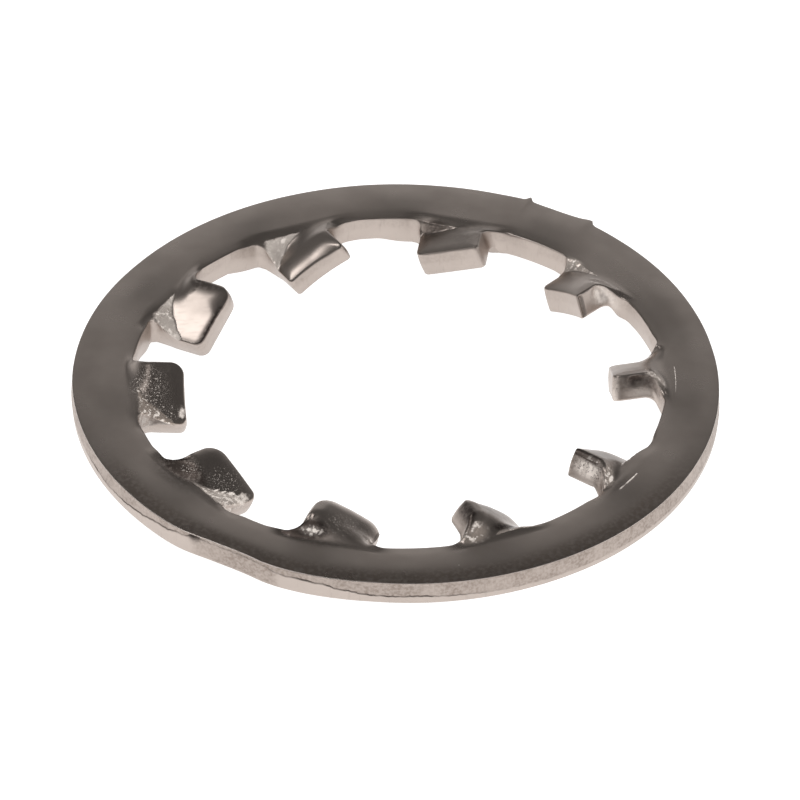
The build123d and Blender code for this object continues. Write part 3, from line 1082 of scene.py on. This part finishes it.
# The cut edges: smooth where the punch sheared them, grainy and a little darker where they broke.
edge, graph, shader, place, numbers = new_material(
    "cut_steel_edge", ["broken", "crack", "torn", "painted_flank_light", "shade_and_stain", "fray_and_edge_highlight"]
)
broken, crack, torn_here, painted_flank_light, shade_and_stain, fray_and_edge_highlight = numbers
patchy, mottled, gritty = [
    graph.effect(grain, Place=place, Cell=cell, Octaves=octaves)
    for cell, octaves in [(0.0009, 3.0), (0.00016, 3.0), (0.00011, 4.0)]
]
drawn_down = graph.vector("MULTIPLY", place, (1.0, 1.0, 0.12))
marks = graph.effect(grain, Place=drawn_down, Cell=0.00009, Octaves=1.0)
coarse_height = graph.effect(facets, Place=place, Cell=0.00018)
blotches = graph.times(broken, graph.ramp(patchy, 0.38, 0.62, 0.45, 0.9))
fray_and_edge_highlight_share = graph.plus(fray_and_edge_highlight, graph.less(1.6, graph.times(mottled, 1.6)))
# Flank patches painted pale as light falling on them, and pale torn metal.
flank_light_and_torn_pale = graph.most(
    graph.times(painted_flank_light, graph.ramp(mottled, 0.35, 0.6, 0.6, 1.0)),
    graph.times(torn_here, graph.ramp(mottled, 0.5, 0.6, 0.0, 0.75)),
)
# Hairline cracks where the broken metal lies in the flank patches painted light.
middle = graph.math("ABSOLUTE", graph.less(mottled, 0.5))
cracked = graph.times(broken, graph.ramp(painted_flank_light, 0.05, 0.3))
hairline = graph.times(graph.ramp(middle, 0.008, 0.022, 0.9, 0.0), cracked)
colour = EDGE_STEEL
for share, brought in [
    (graph.ramp(patchy, 0.3, 0.7, 0.0, 0.35), STEEL),
    (graph.times(graph.ramp(gritty, 0.36, 0.68, 0.25, 1.0), blotches), BROWN_STEEL),
    (graph.times(graph.ramp(marks, 0.64, 0.74), 0.2), DARK_STEEL),
    (graph.ramp(fray_and_edge_highlight_share, 1.28, 1.5, 0.0, 0.6), BROWN_STEEL),
    # Flanks painted pale as light on them, and pale torn metal.
    (flank_light_and_torn_pale, PALE_STEEL),
    # Painted shade in hollows and grooves, partly stain.
    (graph.times(shade_and_stain, graph.ramp(mottled, 0.3, 0.6, 0.6, 1.0)), DARK_STAIN_AND_SHADE),
    (hairline, DARK_STAIN_AND_SHADE),
    # Cracks, and the chip painted dark as shade in its hollow.
    (crack, PIT),
]:
    colour = graph.blend(share, colour, brought)
graph.put(shader["Base Color"], colour)
graph.put(shader["Metallic"], graph.less(1.0, graph.times(flank_light_and_torn_pale, 0.8)))
graph.put(shader["Roughness"], graph.plus(0.4, graph.times(broken, 0.12)))
graph.put(shader["Normal"], bumped(graph, [
    (marks, 0.000002),
    (graph.times(gritty, broken), 0.000016),
    (graph.times(coarse_height, torn_here), 0.00004),
]))

washer.data.materials.append(sheet)
washer.data.materials.append(edge)
face_slots = np.zeros(len(all_quads), dtype=np.int32)
face_slots[len(face_quads) + len(bottom_quads):] = 1
washer.data.polygons.foreach_set("material_index", face_slots)

# ---- floor, lights and camera ------------------------------------------------------------------

FLOOR_HALF = 3.0
floor_z = float(points[:, 2].min())
floor_points = np.array([[-1, -1, 0], [1, -1, 0], [1, 1, 0], [-1, 1, 0]]) * FLOOR_HALF + (0, 0, floor_z)
floor = make_mesh("studio_floor", floor_points, np.array([[0, 1, 2, 3]]))
floor_paint = bpy.data.materials.new("studio_floor_white")
floor_paint.use_nodes = True
painted = floor_paint.node_tree.nodes["Principled BSDF"].inputs
painted["Base Color"].default_value = (0.35, 0.35, 0.35, 1)
painted["Roughness"].default_value = 0.9
painted["Specular IOR Level"].default_value = 0.0
painted["Emission Color"].default_value = (1, 1, 1, 1)
painted["Emission Strength"].default_value = 0.95
floor.data.materials.append(floor_paint)

# A dark room with light walls low down. Behind the washer the wall is lit higher up, which its flat
# top mirrors, and it darkens again above that. High at the left hangs a soft round lamp. The
# light of walls and lamp falls as a power of FALL.
FALL = 2.718
LAMP_WAY = Vector((-0.42, -0.02, 0.91)).normalized()
LAMP_SHARPNESS, LAMP_LIGHT = 65.0, 5.4
LOW_WALL_LIGHT, LOW_WALL_FADE = 0.75, -5.5
ROOM_LIGHT = 0.115
world = bpy.data.worlds.new("studio")
bpy.context.scene.world = world
world.use_nodes = True
sky = Graph(world.node_tree)
ways = sky.node("SeparateXYZ", Vector=sky.node("TexCoord").outputs["Generated"]).outputs
to_x, to_y, to_z = ways
level_length = sky.math("SQRT", sky.plus(sky.times(to_x, to_x), sky.times(to_y, to_y)))
behind = sky.ramp(sky.math("DIVIDE", to_y, sky.plus(level_length, 0.0001)), 0.92, 0.985)
lit_wall = sky.times(sky.ramp(to_z, 0.48, 0.78, 0.37, 0.0), sky.ramp(to_z, 0.2, 0.34), behind)
low_walls = sky.math("POWER", FALL, sky.times(sky.most(to_z, 0.0), LOW_WALL_FADE))
low_walls = sky.times(low_walls, LOW_WALL_LIGHT)
to_lamp = sky.plus(*[sky.times(way, part) for way, part in zip(ways, LAMP_WAY)])
lamp = sky.math("POWER", FALL, sky.times(sky.less(to_lamp, 1.0), LAMP_SHARPNESS))
room = sky.plus(sky.plus(lit_wall, low_walls), sky.plus(sky.times(lamp, LAMP_LIGHT), ROOM_LIGHT))
sky.put(world.node_tree.nodes["Background"].inputs["Color"], room)

bpy.context.scene.view_settings.view_transform = "Standard"

sun = bpy.data.lights.new("overhead_fill", "SUN")
sun.energy = 3.4
sun.angle = math.radians(160)
add_object("overhead_fill", sun).visible_glossy = False


def softbox(name, direction, distance, width, height, radiance):
    """A rectangular area light at a distance along a direction from the washer, facing it, whose
    power is its area times π times the brightness that its face shows."""
    light = bpy.data.lights.new(name, "AREA")
    light.shape = "RECTANGLE"
    light.size = width
    light.size_y = height
    light.energy = width * height * math.pi * radiance
    made = add_object(name, light)
    direction = Vector(direction).normalized()
    made.location = direction * distance
    made.rotation_mode = "QUATERNION"
    made.rotation_quaternion = direction.to_track_quat("Z", "Y")
    return made


softbox("left_softbox", (-0.85, -0.42, 0.34), 0.6, 0.30, 0.20, 0.75)
softbox("right_softbox", (0.93, -0.30, 0.20), 0.6, 0.34, 0.20, 1.6)

# The camera looks at a place beside the washer's middle, given in outer radii to the right and down.
RADIUS = OUTER_R * MM
ELEVATION = math.radians(38.15)
ROLL = math.radians(-0.87)
DISTANCE = 46.43 * RADIUS
ASIDE, DOWN = 0.0059 * RADIUS, 0.0297 * RADIUS
SENSOR_MM = 36
LENS_IN_SENSORS = 18.75
right = Vector((1, 0, 0))
up = Vector((0, math.sin(ELEVATION), math.cos(ELEVATION)))
back = Vector((0, -math.cos(ELEVATION), math.sin(ELEVATION)))
turned_right = right * math.cos(ROLL) - up * math.sin(ROLL)
turned_up = up * math.cos(ROLL) + right * math.sin(ROLL)
camera_place = back * DISTANCE + turned_right * ASIDE - turned_up * DOWN
camera = bpy.data.cameras.new("camera")
camera.sensor_width = SENSOR_MM
camera.lens = LENS_IN_SENSORS * SENSOR_MM
camera.clip_start = 0.01
camera.clip_end = 10
camera_object = add_object("camera", camera)
camera_object.matrix_world = Matrix((
    (turned_right.x, turned_up.x, back.x, camera_place.x),
    (turned_right.y, turned_up.y, back.y, camera_place.y),
    (turned_right.z, turned_up.z, back.z, camera_place.z),
    (0, 0, 0, 1),
))
bpy.context.scene.camera = camera_object
